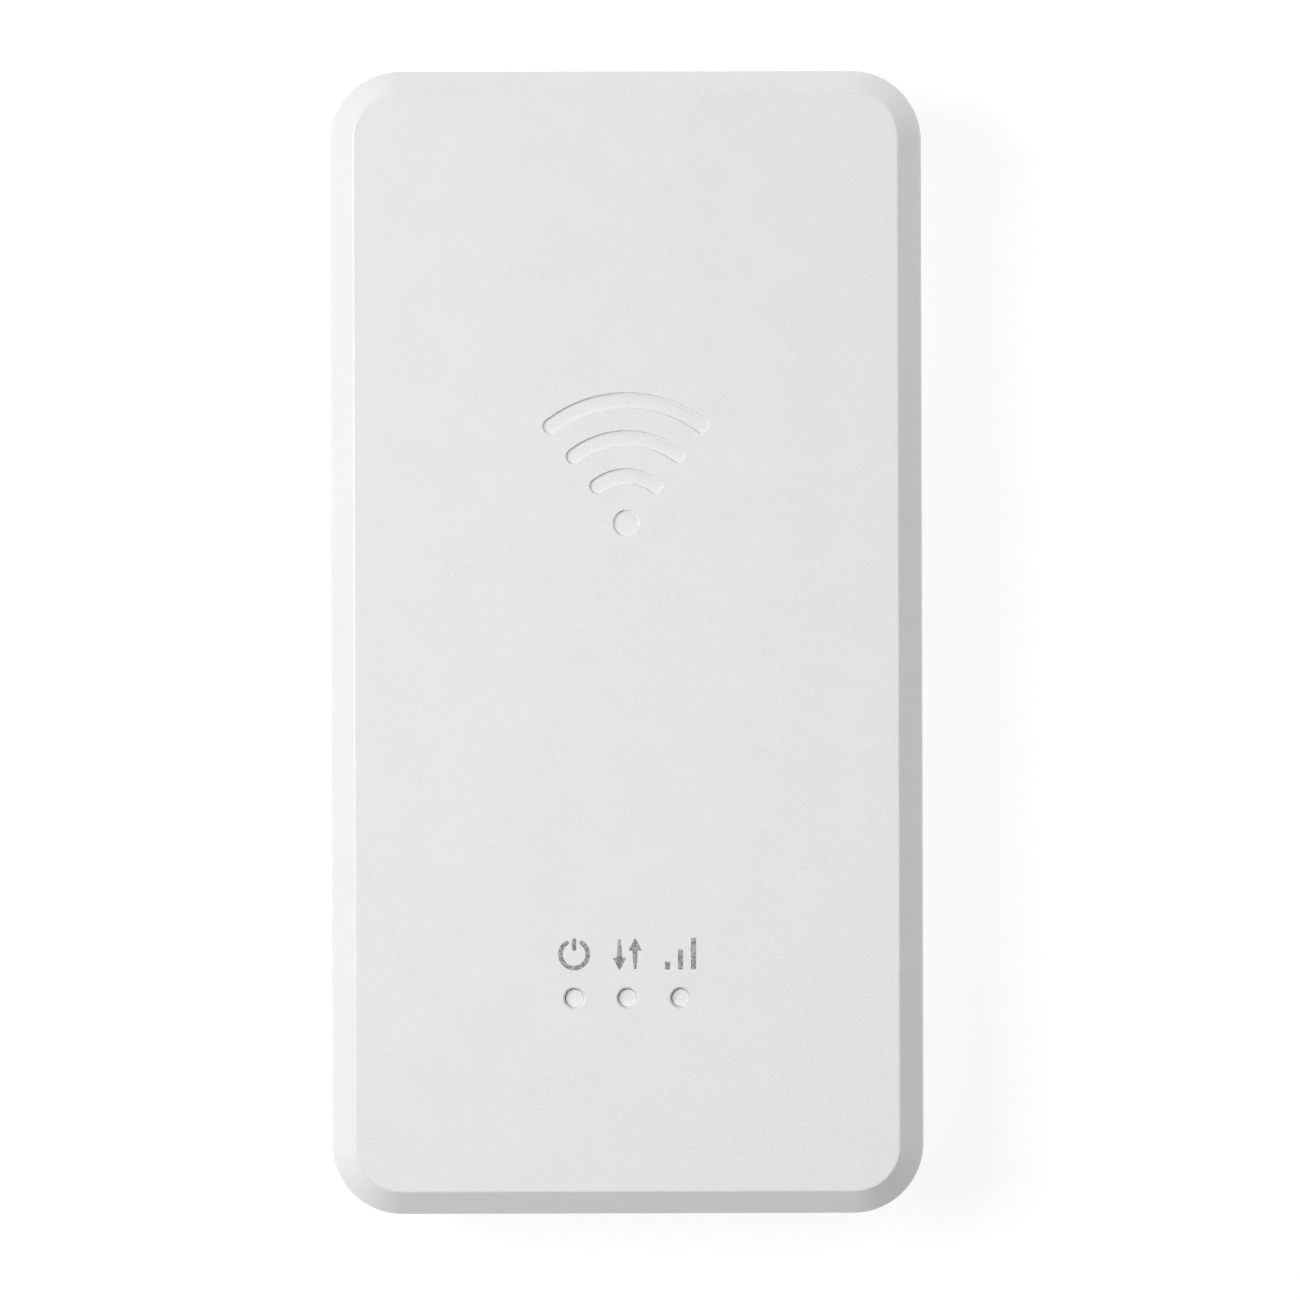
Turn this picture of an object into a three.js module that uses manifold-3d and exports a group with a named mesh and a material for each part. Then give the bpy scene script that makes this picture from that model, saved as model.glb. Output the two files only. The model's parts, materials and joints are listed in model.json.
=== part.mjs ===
// A pocket mobile hotspot, lying on its rear cover with the front face up.
//
// Frame: millimetres, +Z up out of the front face, +Y towards the top end of the front face, +X to its right.
// The origin is the centre of the rear face. Each named mesh is one separate piece of the product.

import * as THREE from "three";
import { mergeVertices } from "three/addons/utils/BufferGeometryUtils.js";
import Module from "manifold-3d";

const wasm = await Module();
wasm.setup();

// ---------------------------------------------------------------- driving dimensions

const WIDTH = 58; // along X
const LENGTH = 112; // along Y
const THICKNESS = 15; // along Z
const CORNER_R = 6.9; // of the outline seen from the front
const FRONT_BEVEL = 2.45; // 45 degree band round the front face
const REAR_BEVEL = 2.0; // the same round the rear face

const WALL = 1.3; // side walls of the front shell and the rear cover
const FRONT_SKIN = 1.6; // thickness behind the front face
const COVER_SKIN = 1.2; // thickness of the rear cover's floor
const SEAM_Z = 5.2; // top edge of the rear cover
const SEAM_GAP = 0.15; // visible gap between rear cover and front shell
const NEST_GAP = 0.3; // between the inner housing and both shells
const SOLDER_GAP = 0.05; // under every component on the board

const HOUSING_INSET = WALL + NEST_GAP;
const HOUSING_WALL = 1.0;
const HOUSING_Z = 1.6; // rear face of the inner housing
const HOUSING_TOP = 7.0;

const BOARD_Z = 9.4; // underside of the circuit board
const BOARD_T = 1.0;
const BOARD_TOP = BOARD_Z + BOARD_T;
const BOARD_INSET = 2.8;

const PORT_Z = 8.9; // centre height of the buttons, USB socket and reset pinhole
const FRONT_INNER_Z = THICKNESS - FRONT_SKIN;
const HALF_W = WIDTH / 2;
const HALF_L = LENGTH / 2;
const CUT = 1; // how far a cutting tool runs past the face that it opens

const CORNER_SEGMENTS = 4; // each corner arc gets twice as many steps

// The battery and its bay
const BATTERY = { width: 44.8, length: 61.6, bottom: 1.8, top: 7.3, y: -9, corner: 1.6 };
const BAY_CLEARANCE = 0.4;
const BAY_WALL = 0.9;
const BAY_ROOF_Z = 7.7;
const BAY_ROOF_T = 0.8;
const END_CAP_LENGTH = 3.2;
const CONTACT_PITCH = 3;
const CONTACT_XS = [-CONTACT_PITCH, 0, CONTACT_PITCH];
const CONTACT_Z = 5.6;

// Screws, in pairs across the housing
const SCREW_X = 22.6;
const SCREW_YS = [-49.6, 26.5, 49.6];
const SCREW_SEAT_Z = 3.4;
const SCREW_TIP_Z = 12.4;
const SCREW_SHANK_R = 0.75;
const SCREW_HEAD_R = 1.5;

// Indicators
const LED_PITCH = 5.18;
const LED_XS = [-LED_PITCH, 0, LED_PITCH];
const LED_Y = -34.67;
const LED_HOLE_R = 0.905;
const LED_RIM_R = 1.07; // of the hole at the front face, above its flare
const LED_FLARE = 0.315; // how deep the flare goes
const LED_POST_R = 0.865; // of the light guide's posts in the holes
const LED_RECESS = 0.45; // from the front face down to the posts' ends

// Controls and sockets on the sides
const POWER = { name: "power", y: 33, length: 9.0 };
const PAIRING = { name: "pairing", y: 18, length: 6.0 };
const BUTTON_HEIGHT = 2.6;
const BUTTON_GAP = 0.12;
const RESET_X = 11;
const RESET_HOLE_R = 0.6;
const SWITCH_HALF = 2.3; // half the length of a side switch along the board's edge
const SIM_Y = 37.4;
const SIM_Z = 8.7;
const SIM_FACE = { length: 15.0, height: 1.8 };
const USB = { width: 8.94, height: 3.26, mouth: -HALF_L + 0.4, depth: 7.3, wall: 0.3 };

// ---------------------------------------------------------------- materials

const finish = (color, roughness, metalness = 0) =>
  new THREE.MeshStandardMaterial({ color, roughness, metalness });

const MATERIALS = {
  whiteShell: finish(0xe6e6e6, 0.55),
  whiteKey: finish(0xe9e9e9, 0.5),
  innerPlastic: finish(0xd9dadb, 0.6),
  blackPlastic: finish(0x1c1d1f, 0.55),
  diffuser: finish(0xf2f3f3, 0.35),
  blackFoam: finish(0x17181a, 0.95),
  greyFoam: finish(0x4a4c4f, 0.95),
  label: finish(0xf4f4f1, 0.5),
  board: finish(0x10482c, 0.45),
  chip: finish(0x1d1e20, 0.4),
  led: finish(0xf5efcf, 0.3),
  steel: finish(0xb9bcc0, 0.35, 0.9),
  screw: finish(0x6f7276, 0.35, 0.9),
  gold: finish(0xd9ab4b, 0.3, 1),
  copper: finish(0xb87545, 0.4, 0.9),
  thermalPad: finish(0x8fa9c2, 0.8),
  cell: finish(0x2c3036, 0.5),
  simCard: finish(0xf0f0ee, 0.45),
};

// ---------------------------------------------------------------- shapes and booleans

function solidOf(geometry) {
  const plain = geometry.clone();
  plain.deleteAttribute("normal");
  plain.deleteAttribute("uv");
  const merged = mergeVertices(plain, 1e-4);
  return new wasm.Manifold(
    new wasm.Mesh({
      numProp: 3,
      vertProperties: merged.attributes.position.array,
      triVerts: new Uint32Array(merged.index.array),
    }),
  );
}

function geometryOf(solid) {
  const { numProp, numVert, vertProperties, triVerts } = solid.getMesh();
  const positions = new Float32Array(numVert * 3);
  for (let i = 0; i < numVert; i++) {
    positions.set(vertProperties.subarray(i * numProp, i * numProp + 3), i * 3);
  }
  const indexed = new THREE.BufferGeometry()
    .setAttribute("position", new THREE.BufferAttribute(positions, 3))
    .setIndex(new THREE.BufferAttribute(triVerts, 1));
  const flat = indexed.toNonIndexed();
  flat.computeVertexNormals();
  return flat;
}

const join = (first, ...rest) => rest.reduce((a, b) => a.add(b), first);
const cut = (first, ...tools) => tools.reduce((a, b) => a.subtract(b), first);

// A rectangle with round corners, centred on the origin.
function roundedRect(halfX, halfY, radius) {
  const x = halfX - radius;
  const y = halfY - radius;
  const shape = new THREE.Shape();
  shape.moveTo(-x, -halfY);
  shape.lineTo(x, -halfY);
  shape.absarc(x, -y, radius, -Math.PI / 2, 0);
  shape.lineTo(halfX, y);
  shape.absarc(x, y, radius, 0, Math.PI / 2);
  shape.lineTo(-x, halfY);
  shape.absarc(-x, y, radius, Math.PI / 2, Math.PI);
  shape.lineTo(-halfX, -y);
  shape.absarc(-x, -y, radius, Math.PI, Math.PI * 1.5);
  return shape;
}

// The product's outline, moved inwards by inset.
const outline = (inset) =>
  roundedRect(HALF_W - inset, HALF_L - inset, Math.max(CORNER_R - inset, 0.9));

// A shape extruded from z0 to z1.
function prism(shape, z0, z1, curveSegments = CORNER_SEGMENTS) {
  const geometry = new THREE.ExtrudeGeometry(shape, {
    depth: z1 - z0,
    bevelEnabled: false,
    curveSegments,
  });
  return solidOf(geometry.translate(0, 0, z0));
}

function block(x0, x1, y0, y1, z0, z1) {
  const geometry = new THREE.BoxGeometry(x1 - x0, y1 - y0, z1 - z0);
  return solidOf(geometry.translate((x0 + x1) / 2, (y0 + y1) / 2, (z0 + z1) / 2));
}

// A block given by its centre in plan, its size, and its lowest and highest z.
const blockAt = (x, y, width, length, z0, z1) =>
  block(x - width / 2, x + width / 2, y - length / 2, y + length / 2, z0, z1);

function rod(x, y, z0, z1, radius, segments = 16, topRadius = radius) {
  const geometry = new THREE.CylinderGeometry(topRadius, radius, z1 - z0, segments);
  return solidOf(geometry.rotateX(Math.PI / 2).translate(x, y, (z0 + z1) / 2));
}

// A prism of the product's outline whose top or bottom edge has a 45 degree bevel.
function bevelledPrism(inset, z0, z1, bevel, end) {
  const geometry = new THREE.ExtrudeGeometry(outline(inset), {
    depth: z1 - z0 - bevel,
    bevelThickness: bevel,
    bevelSize: bevel,
    bevelOffset: -bevel,
    bevelSegments: 1,
    curveSegments: CORNER_SEGMENTS,
  });
  const atTop = end === "top";
  const whole = solidOf(geometry.translate(0, 0, atTop ? z0 : z0 + bevel));
  const [low, high] = atTop ? [z0 - bevel - CUT, z0] : [z1, z1 + bevel + CUT];
  return cut(whole, block(-HALF_W, HALF_W, -HALF_L, HALF_L, low, high));
}

// A bar with an oblong section that runs along +X from x0 to x1, centred on (y, z).
function oblongAlongX(x0, x1, y, z, length, height, radius = height / 2) {
  const geometry = new THREE.ExtrudeGeometry(
    roundedRect(height / 2, length / 2, radius - 0.001),
    { depth: x1 - x0, bevelEnabled: false, curveSegments: CORNER_SEGMENTS },
  );
  return solidOf(geometry.rotateY(Math.PI / 2).translate(x0, y, z));
}

// The same along +Y from y0 to y1, centred on (x, z).
function oblongAlongY(y0, y1, x, z, width, height, radius = height / 2) {
  const geometry = new THREE.ExtrudeGeometry(
    roundedRect(width / 2, height / 2, radius - 0.001),
    { depth: y1 - y0, bevelEnabled: false, curveSegments: CORNER_SEGMENTS },
  );
  return solidOf(geometry.rotateX(Math.PI / 2).translate(x, y1, z));
}

// A round-ended stroke along an arc about (cx, cy), as used by the emblem.
function arcStroke(cx, cy, radius, width, centreAngle, halfAngle) {
  const a0 = centreAngle - halfAngle;
  const a1 = centreAngle + halfAngle;
  const cap = width / 2;
  const end = (angle) => [cx + radius * Math.cos(angle), cy + radius * Math.sin(angle)];
  const shape = new THREE.Shape();
  shape.absarc(cx, cy, radius + cap, a0, a1, false);
  shape.absarc(...end(a1), cap, a1, a1 + Math.PI, false);
  shape.absarc(cx, cy, radius - cap, a1, a0, true);
  shape.absarc(...end(a0), cap, a0 + Math.PI, a0 + 2 * Math.PI, false);
  return shape;
}

// ---------------------------------------------------------------- scene graph

const hotspot = new THREE.Group();

function place(name, solid, material, parent = hotspot) {
  const mesh = new THREE.Mesh(geometryOf(solid), material);
  mesh.name = name;
  parent.add(mesh);
  return mesh;
}

const screwPoints = SCREW_YS.flatMap((y) => [-SCREW_X, SCREW_X].map((x) => [x, y]));

// ---------------------------------------------------------------- front shell

const EMBLEM = { y: 11.6, dotR: 1.3, radii: [4.6, 8.3, 12.0], stroke: 1.5, depth: 0.26 };
const EMBLEM_HALF_ANGLE = THREE.MathUtils.degToRad(38);

// A sunk fan of three waves over a dot, the generic sign for a wireless device.
function emblemTools() {
  const z0 = THICKNESS - EMBLEM.depth;
  const waves = EMBLEM.radii.map((radius) => {
    const stroke = arcStroke(0, EMBLEM.y, radius, EMBLEM.stroke, Math.PI / 2, EMBLEM_HALF_ANGLE);
    return prism(stroke, z0, THICKNESS + CUT, 5);
  });
  return [rod(0, EMBLEM.y, z0, THICKNESS + CUT, EMBLEM.dotR, 20), ...waves];
}

function buttonOpening({ y, length }) {
  const grow = 2 * BUTTON_GAP;
  return oblongAlongX(
    HALF_W - WALL - CUT, HALF_W + CUT, y, PORT_Z, length + grow, BUTTON_HEIGHT + grow,
  );
}

function frontShell() {
  const z0 = SEAM_Z + SEAM_GAP;
  const bossFoot = BOARD_TOP + 0.1;
  const cavityBevel = 2.0;
  const simGap = 0.2;
  const usbGap = 0.3;
  const outer = bevelledPrism(0, z0, THICKNESS, FRONT_BEVEL, "top");
  const cavity = bevelledPrism(WALL, z0 - CUT, FRONT_INNER_Z, cavityBevel, "top");
  const bosses = screwPoints.map(([x, y]) => rod(x, y, bossFoot, FRONT_INNER_Z + 0.5, 2.2));
  const pilots = screwPoints.map(([x, y]) => rod(x, y, bossFoot - CUT, 12.9, 0.95, 12));
  const flareEndR = 2 * LED_RIM_R - LED_HOLE_R; // as far above the face as the flare starts below it
  const ledHoles = LED_XS.flatMap((x) => [
    rod(x, LED_Y, FRONT_INNER_Z - CUT, THICKNESS + CUT, LED_HOLE_R, 24),
    rod(x, LED_Y, THICKNESS - LED_FLARE, THICKNESS + LED_FLARE, LED_HOLE_R, 24, flareEndR),
  ]);
  const simSlot = oblongAlongX(
    -HALF_W - CUT, -HALF_W + WALL + CUT, SIM_Y, SIM_Z,
    SIM_FACE.length + simGap, SIM_FACE.height + simGap,
  );
  const usbHole = oblongAlongY(
    -HALF_L - CUT, -HALF_L + WALL + CUT, 0, PORT_Z, USB.width + usbGap, USB.height + usbGap,
  );
  const resetHole = oblongAlongY(
    -HALF_L - CUT, -HALF_L + WALL + CUT, RESET_X, PORT_Z, 2 * RESET_HOLE_R, 2 * RESET_HOLE_R,
  );
  return cut(
    join(cut(outer, cavity), ...bosses),
    ...pilots, ...ledHoles, ...emblemTools(),
    buttonOpening(POWER), buttonOpening(PAIRING), simSlot, usbHole, resetHole,
  );
}

place("front_shell", frontShell(), MATERIALS.whiteShell);

// ---------------------------------------------------------------- inner housing

const bay = {
  halfX: BATTERY.width / 2 + BAY_CLEARANCE,
  y0: BATTERY.y - BATTERY.length / 2 - BAY_CLEARANCE,
  y1: BATTERY.y + BATTERY.length / 2 + BAY_CLEARANCE,
};

// Shallow pockets in the housing's outer wall that the rear cover's snaps rest in.
const SNAP = { length: 6, z: 4.0, height: 0.8, depth: 0.2, sideYs: [-30, 34], endX: 14 };

function snapBlocks(inset0, inset1, grow) {
  const z0 = SNAP.z - SNAP.height / 2 - grow;
  const z1 = SNAP.z + SNAP.height / 2 + grow;
  const length = SNAP.length + 2 * grow;
  const mid = (inset0 + inset1) / 2;
  const thick = inset1 - inset0;
  const onSides = SNAP.sideYs.flatMap((y) =>
    [-1, 1].map((s) => blockAt(s * (HALF_W - mid), y, thick, length, z0, z1)),
  );
  const onEnds = [-1, 1].flatMap((s) =>
    [-SNAP.endX, SNAP.endX].map((x) => blockAt(x, s * (HALF_L - mid), length, thick, z0, z1)),
  );
  return [...onSides, ...onEnds];
}

function rearHousing() {
  const floorTop = HOUSING_Z + 1.0;
  const edgeBevel = 1.2;
  const counterboreR = 1.8;
  const outer = bevelledPrism(HOUSING_INSET, HOUSING_Z, HOUSING_TOP, edgeBevel, "bottom");
  const inside = bevelledPrism(
    HOUSING_INSET + HOUSING_WALL, floorTop, HOUSING_TOP + CUT, 0.8, "bottom",
  );
  const bayBox = block(
    -bay.halfX - BAY_WALL, bay.halfX + BAY_WALL, bay.y0 - BAY_WALL, bay.y1 + BAY_WALL,
    HOUSING_Z, BAY_ROOF_Z + BAY_ROOF_T,
  );
  const bayHollow = block(-bay.halfX, bay.halfX, bay.y0, bay.y1, HOUSING_Z - CUT, BAY_ROOF_Z);
  const standoffs = screwPoints.map(([x, y]) => rod(x, y, HOUSING_Z, BOARD_Z - 0.1, 2.5));
  const screwBores = screwPoints.flatMap(([x, y]) => [
    rod(x, y, HOUSING_Z - CUT, SCREW_SEAT_Z, counterboreR, 20),
    rod(x, y, HOUSING_Z, BOARD_Z + CUT, SCREW_SHANK_R + 0.2, 12),
  ]);
  const contactWindow = block(-5, 5, bay.y1 - CUT, bay.y1 + BAY_WALL + CUT, 4.2, HOUSING_TOP);
  const nailRecess = prism(
    roundedRect(7, 3, 2.9), HOUSING_Z - CUT, 4.4,
  ).translate([0, bay.y0, 0]);
  const nailPocket = prism(roundedRect(7.9, 3.9, 3.8), HOUSING_Z, 5.3).translate([0, bay.y0, 0]);
  const labelRecess = blockAt(0, 39, 31, 17, HOUSING_Z - CUT, HOUSING_Z + 0.2);
  const usbNotch = block(-4.9, 4.9, -HALF_L, -47.5, 6.6, HOUSING_TOP + CUT);
  const pockets = snapBlocks(HOUSING_INSET - CUT, HOUSING_INSET + SNAP.depth, 0.25);
  const tub = join(cut(outer, inside), bayBox, nailPocket, ...standoffs);
  return cut(
    tub, bayHollow, nailRecess, contactWindow, labelRecess, usbNotch, ...pockets, ...screwBores,
  );
}

place("rear_housing", rearHousing(), MATERIALS.innerPlastic);
place("info_label", blockAt(0, 39, 30, 16, 1.55, 1.75), MATERIALS.label);

// A pan-head screw with a cross recess. Its axis is +Z and its head sits at z = 0, below the seat.
function screw() {
  const headT = 0.9;
  const tip = SCREW_TIP_Z - SCREW_SEAT_Z;
  const profile = [
    [0, -headT], [SCREW_HEAD_R * 0.8, -headT], [SCREW_HEAD_R, -headT * 0.6],
    [SCREW_HEAD_R, -SOLDER_GAP], [SCREW_SHANK_R, -SOLDER_GAP],
    [SCREW_SHANK_R, tip - 0.8], [0, tip],
  ].map(([x, y]) => new THREE.Vector2(x, y));
  const turned = solidOf(new THREE.LatheGeometry(profile, 10).rotateX(Math.PI / 2));
  const slot = 0.36;
  const reach = 0.85;
  const depth = -headT + 0.45;
  return cut(
    turned,
    block(-reach, reach, -slot / 2, slot / 2, -headT - CUT, depth),
    block(-slot / 2, slot / 2, -reach, reach, -headT - CUT, depth),
  );
}

screwPoints.forEach(([x, y], i) => {
  place(`housing_screw_${i + 1}`, screw(), MATERIALS.screw).position.set(x, y, SCREW_SEAT_Z);
});

// ---------------------------------------------------------------- circuit board

function board() {
  const slab = prism(outline(BOARD_INSET), BOARD_Z, BOARD_TOP);
  const screwHoles = screwPoints.map(([x, y]) =>
    rod(x, y, BOARD_Z - CUT, BOARD_TOP + CUT, 1.1, 12),
  );
  const edgeX = HALF_W - BOARD_INSET;
  const edgeY = -HALF_L + BOARD_INSET;
  const notchDepth = 3.0;
  const notchHalf = SWITCH_HALF + 0.3;
  const sideNotches = [POWER.y, PAIRING.y].map((y) =>
    block(edgeX - notchDepth, edgeX + CUT, y - notchHalf, y + notchHalf, BOARD_Z - CUT, BOARD_TOP + CUT),
  );
  const resetNotch = block(
    RESET_X - notchHalf, RESET_X + notchHalf, edgeY - CUT, edgeY + notchDepth,
    BOARD_Z - CUT, BOARD_TOP + CUT,
  );
  const usbNotch = block(
    -USB.width / 2 - 0.3, USB.width / 2 + 0.3, edgeY - CUT, USB.mouth + USB.depth + 0.3,
    BOARD_Z - CUT, BOARD_TOP + CUT,
  );
  return cut(slab, ...screwHoles, ...sideNotches, resetNotch, usbNotch);
}

place("pcb", board(), MATERIALS.board);

// Every component on the board's front side stands on this height.
const MOUNT_Z = BOARD_TOP + SOLDER_GAP;

const CANS = {
  baseband_shield: { x: -10.5, y: 33, width: 19, length: 22, height: 1.55 },
  rf_shield: { x: 10.8, y: 34, width: 18, length: 18, height: 1.55 },
  wifi_shield: { x: -13.5, y: 6, width: 16, length: 15, height: 1.45 },
  power_shield: { x: 8, y: 6, width: 15, length: 13, height: 1.45 },
};
const CAN_SKIN = 0.2;

// A five-sided stamped cover, open towards the board.
function can({ x, y, width, length, height }) {
  const outer = blockAt(x, y, width, length, MOUNT_Z, MOUNT_Z + height);
  const inner = blockAt(
    x, y, width - 2 * CAN_SKIN, length - 2 * CAN_SKIN, MOUNT_Z - CUT, MOUNT_Z + height - CAN_SKIN,
  );
  return cut(outer, inner);
}

for (const [name, size] of Object.entries(CANS)) place(name, can(size), MATERIALS.steel);

const CHIPS = {
  baseband_chip: { x: -14, y: 34, width: 10, length: 11, height: 0.95 },
  memory_chip: { x: -4.8, y: 34, width: 6.5, length: 10, height: 0.85 },
  rf_transceiver_chip: { x: 7, y: 36, width: 6.5, length: 6.5, height: 0.8 },
  power_amplifier_chip: { x: 14.5, y: 30, width: 5, length: 4, height: 0.8 },
  wifi_chip: { x: -13.5, y: 6, width: 7, length: 7, height: 0.8 },
  power_chip: { x: 5, y: 6, width: 5, length: 5, height: 0.75 },
  power_inductor: { x: 11.3, y: 6, width: 4, length: 4, height: 1.1 },
};

for (const [name, { x, y, width, length, height }] of Object.entries(CHIPS)) {
  place(name, blockAt(x, y, width, length, MOUNT_Z, MOUNT_Z + height), MATERIALS.chip);
}

const padUnder = MOUNT_Z + CANS.baseband_shield.height + 0.1;
place(
  "thermal_pad",
  blockAt(CANS.baseband_shield.x, CANS.baseband_shield.y, 18, 16, padUnder, FRONT_INNER_Z - 0.1),
  MATERIALS.thermalPad,
);

// ---------------------------------------------------------------- indicators

const LED = { width: 1.6, length: 1.0, height: 0.55 };
["led_power", "led_pairing", "led_signal"].forEach((name, i) => {
  const lamp = blockAt(LED_XS[i], LED_Y, LED.width, LED.length, MOUNT_Z, MOUNT_Z + LED.height);
  place(name, lamp, MATERIALS.led);
});

const GUIDE_Z = 12.35; // underside of the bar that joins the three light posts

function lightGuide() {
  const bar = prism(roundedRect(7.6, 1.7, 1.2), GUIDE_Z, FRONT_INNER_Z - 0.15).translate([0, LED_Y, 0]);
  const posts = LED_XS.flatMap((x) => [
    rod(x, LED_Y, GUIDE_Z, THICKNESS - LED_RECESS, LED_POST_R, 24),
    rod(x, LED_Y, 11.3, GUIDE_Z + 0.2, 1.1, 16),
  ]);
  return join(bar, ...posts);
}

place("light_guide", lightGuide(), MATERIALS.diffuser);

function lightBlocker() {
  const body = prism(roundedRect(8.4, 2.4, 1.0), MOUNT_Z, GUIDE_Z - 0.1).translate([0, LED_Y, 0]);
  return cut(body, ...LED_XS.map((x) => rod(x, LED_Y, MOUNT_Z - CUT, GUIDE_Z + CUT, 1.45, 16)));
}

place("light_blocker", lightBlocker(), MATERIALS.blackFoam);

// ---------------------------------------------------------------- USB socket

function usbShell() {
  const y1 = USB.mouth + USB.depth;
  const outer = oblongAlongY(USB.mouth, y1, 0, PORT_Z, USB.width, USB.height);
  const inner = oblongAlongY(
    USB.mouth - CUT, y1 + CUT, 0, PORT_Z, USB.width - 2 * USB.wall, USB.height - 2 * USB.wall,
  );
  return cut(outer, inner);
}

function usbInsulator() {
  const gap = 0.12;
  const back = USB.mouth + USB.depth;
  const plug = oblongAlongY(
    back - 2.2, back, 0, PORT_Z,
    USB.width - 2 * (USB.wall + gap), USB.height - 2 * (USB.wall + gap),
  );
  const tongue = block(-3.35, 3.35, USB.mouth + 0.7, back - 1, PORT_Z - 0.35, PORT_Z + 0.35);
  return join(plug, tongue);
}

place("usb_shell", usbShell(), MATERIALS.steel);
place("usb_insulator", usbInsulator(), MATERIALS.blackPlastic);

// ---------------------------------------------------------------- buttons and their switches

const WALL_INNER_X = HALF_W - WALL;
const BUTTON_FACE_X = HALF_W - 0.05;

// The cap fills the opening, a wider flange behind the wall keeps it in, and a stem meets the plunger.
function button({ y, length }) {
  const cap = oblongAlongX(WALL_INNER_X - 0.3, BUTTON_FACE_X, y, PORT_Z, length, BUTTON_HEIGHT);
  const flange = blockAt(
    WALL_INNER_X - 0.5, y, 0.6, length + 2, PORT_Z - 1.6, PORT_Z + 1.6,
  );
  const stem = blockAt(WALL_INNER_X - 0.95, y, 0.5, 2.4, PORT_Z - 0.5, PORT_Z + 0.5);
  return join(cap, flange, stem);
}

const SWITCH = { back: 23.9, front: 25.7, height: 2.0, pocketFloor: 24.7 };
const PLUNGER = { back: 25.2, front: 26.35, halfLength: 1.0, halfHeight: 0.45 };

// A side-push switch, built facing +X at (0, 0, PORT_Z), with a pocket for its plunger.
function sideSwitch() {
  const body = block(
    SWITCH.back, SWITCH.front, -SWITCH_HALF, SWITCH_HALF,
    PORT_Z - SWITCH.height / 2, PORT_Z + SWITCH.height / 2,
  );
  const pocket = block(
    SWITCH.pocketFloor, SWITCH.front + CUT, -PLUNGER.halfLength - 0.15, PLUNGER.halfLength + 0.15,
    PORT_Z - PLUNGER.halfHeight - 0.15, PORT_Z + PLUNGER.halfHeight + 0.15,
  );
  return cut(body, pocket);
}

const plunger = () =>
  block(
    PLUNGER.back, PLUNGER.front, -PLUNGER.halfLength, PLUNGER.halfLength,
    PORT_Z - PLUNGER.halfHeight, PORT_Z + PLUNGER.halfHeight,
  );

for (const key of [POWER, PAIRING]) {
  place(`${key.name}_button`, button(key), MATERIALS.whiteKey);
  place(`${key.name}_switch`, sideSwitch(), MATERIALS.steel).position.set(0, key.y, 0);
  place(`${key.name}_switch_plunger`, plunger(), MATERIALS.blackPlastic).position.set(0, key.y, 0);
}

// The reset switch is the same part turned to face the bottom end, behind the pinhole.
const resetGroup = new THREE.Group();
resetGroup.rotation.z = -Math.PI / 2;
resetGroup.position.set(RESET_X, HALF_W - HALF_L, 0);
hotspot.add(resetGroup);
place("reset_switch", sideSwitch(), MATERIALS.steel, resetGroup);
place("reset_plunger", plunger(), MATERIALS.blackPlastic, resetGroup);

// ---------------------------------------------------------------- SIM socket, tray and card

const TRAY = { tip: -11.5, halfWidth: 6.3, z0: 8.25, z1: 9.15 };
const POCKET = { x0: -24.6, x1: -12.1, halfWidth: 4.5, floor: 8.4 };

function simConnector() {
  const x1 = TRAY.tip + 1.0;
  const body = block(-25.9, x1, SIM_Y - 7.3, SIM_Y + 7.3, 7.75, BOARD_Z - SOLDER_GAP);
  const slot = block(-25.9 - CUT, TRAY.tip + 0.4, SIM_Y - 6.5, SIM_Y + 6.5, 8.1, 9.25);
  return cut(body, slot);
}

// A frame with a stepped pocket for the card, on an end plate that closes the slot in the shell.
function simTray() {
  const plateX0 = -HALF_W + 0.05;
  const plate = oblongAlongX(
    plateX0, -HALF_W + WALL, SIM_Y, SIM_Z, SIM_FACE.length, SIM_FACE.height,
  );
  const frame = block(
    -HALF_W + WALL - 0.2, TRAY.tip, SIM_Y - TRAY.halfWidth, SIM_Y + TRAY.halfWidth, TRAY.z0, TRAY.z1,
  );
  const pocket = block(
    POCKET.x0, POCKET.x1, SIM_Y - POCKET.halfWidth, SIM_Y + POCKET.halfWidth,
    POCKET.floor, TRAY.z1 + CUT,
  );
  const window = block(
    POCKET.x0 + 2, POCKET.x1 - 2, SIM_Y - POCKET.halfWidth + 1.2, SIM_Y + POCKET.halfWidth - 1.2,
    TRAY.z0 - CUT, POCKET.floor + CUT,
  );
  const nailGroove = block(
    -HALF_W - CUT, -HALF_W + 0.55, SIM_Y - 3.5, SIM_Y + 3.5, SIM_Z - 0.3, SIM_Z + 0.3,
  );
  return cut(join(plate, frame), pocket, window, nailGroove);
}

// A nano card with its cut corner.
function simCard() {
  const gap = 0.1;
  const corner = 1.6;
  const [x0, x1] = [POCKET.x0 + gap, POCKET.x1 - gap];
  const [y0, y1] = [SIM_Y - POCKET.halfWidth + gap, SIM_Y + POCKET.halfWidth - gap];
  const shape = new THREE.Shape([
    new THREE.Vector2(x0, y0),
    new THREE.Vector2(x1, y0),
    new THREE.Vector2(x1, y1 - corner),
    new THREE.Vector2(x1 - corner, y1),
    new THREE.Vector2(x0, y1),
  ]);
  return prism(shape, POCKET.floor + 0.03, POCKET.floor + 0.7);
}

place("sim_connector", simConnector(), MATERIALS.steel);
place("sim_tray", simTray(), MATERIALS.whiteKey);
place("sim_card", simCard(), MATERIALS.simCard);

// ---------------------------------------------------------------- battery and its contacts

const batteryEnd = BATTERY.y + BATTERY.length / 2;

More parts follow.
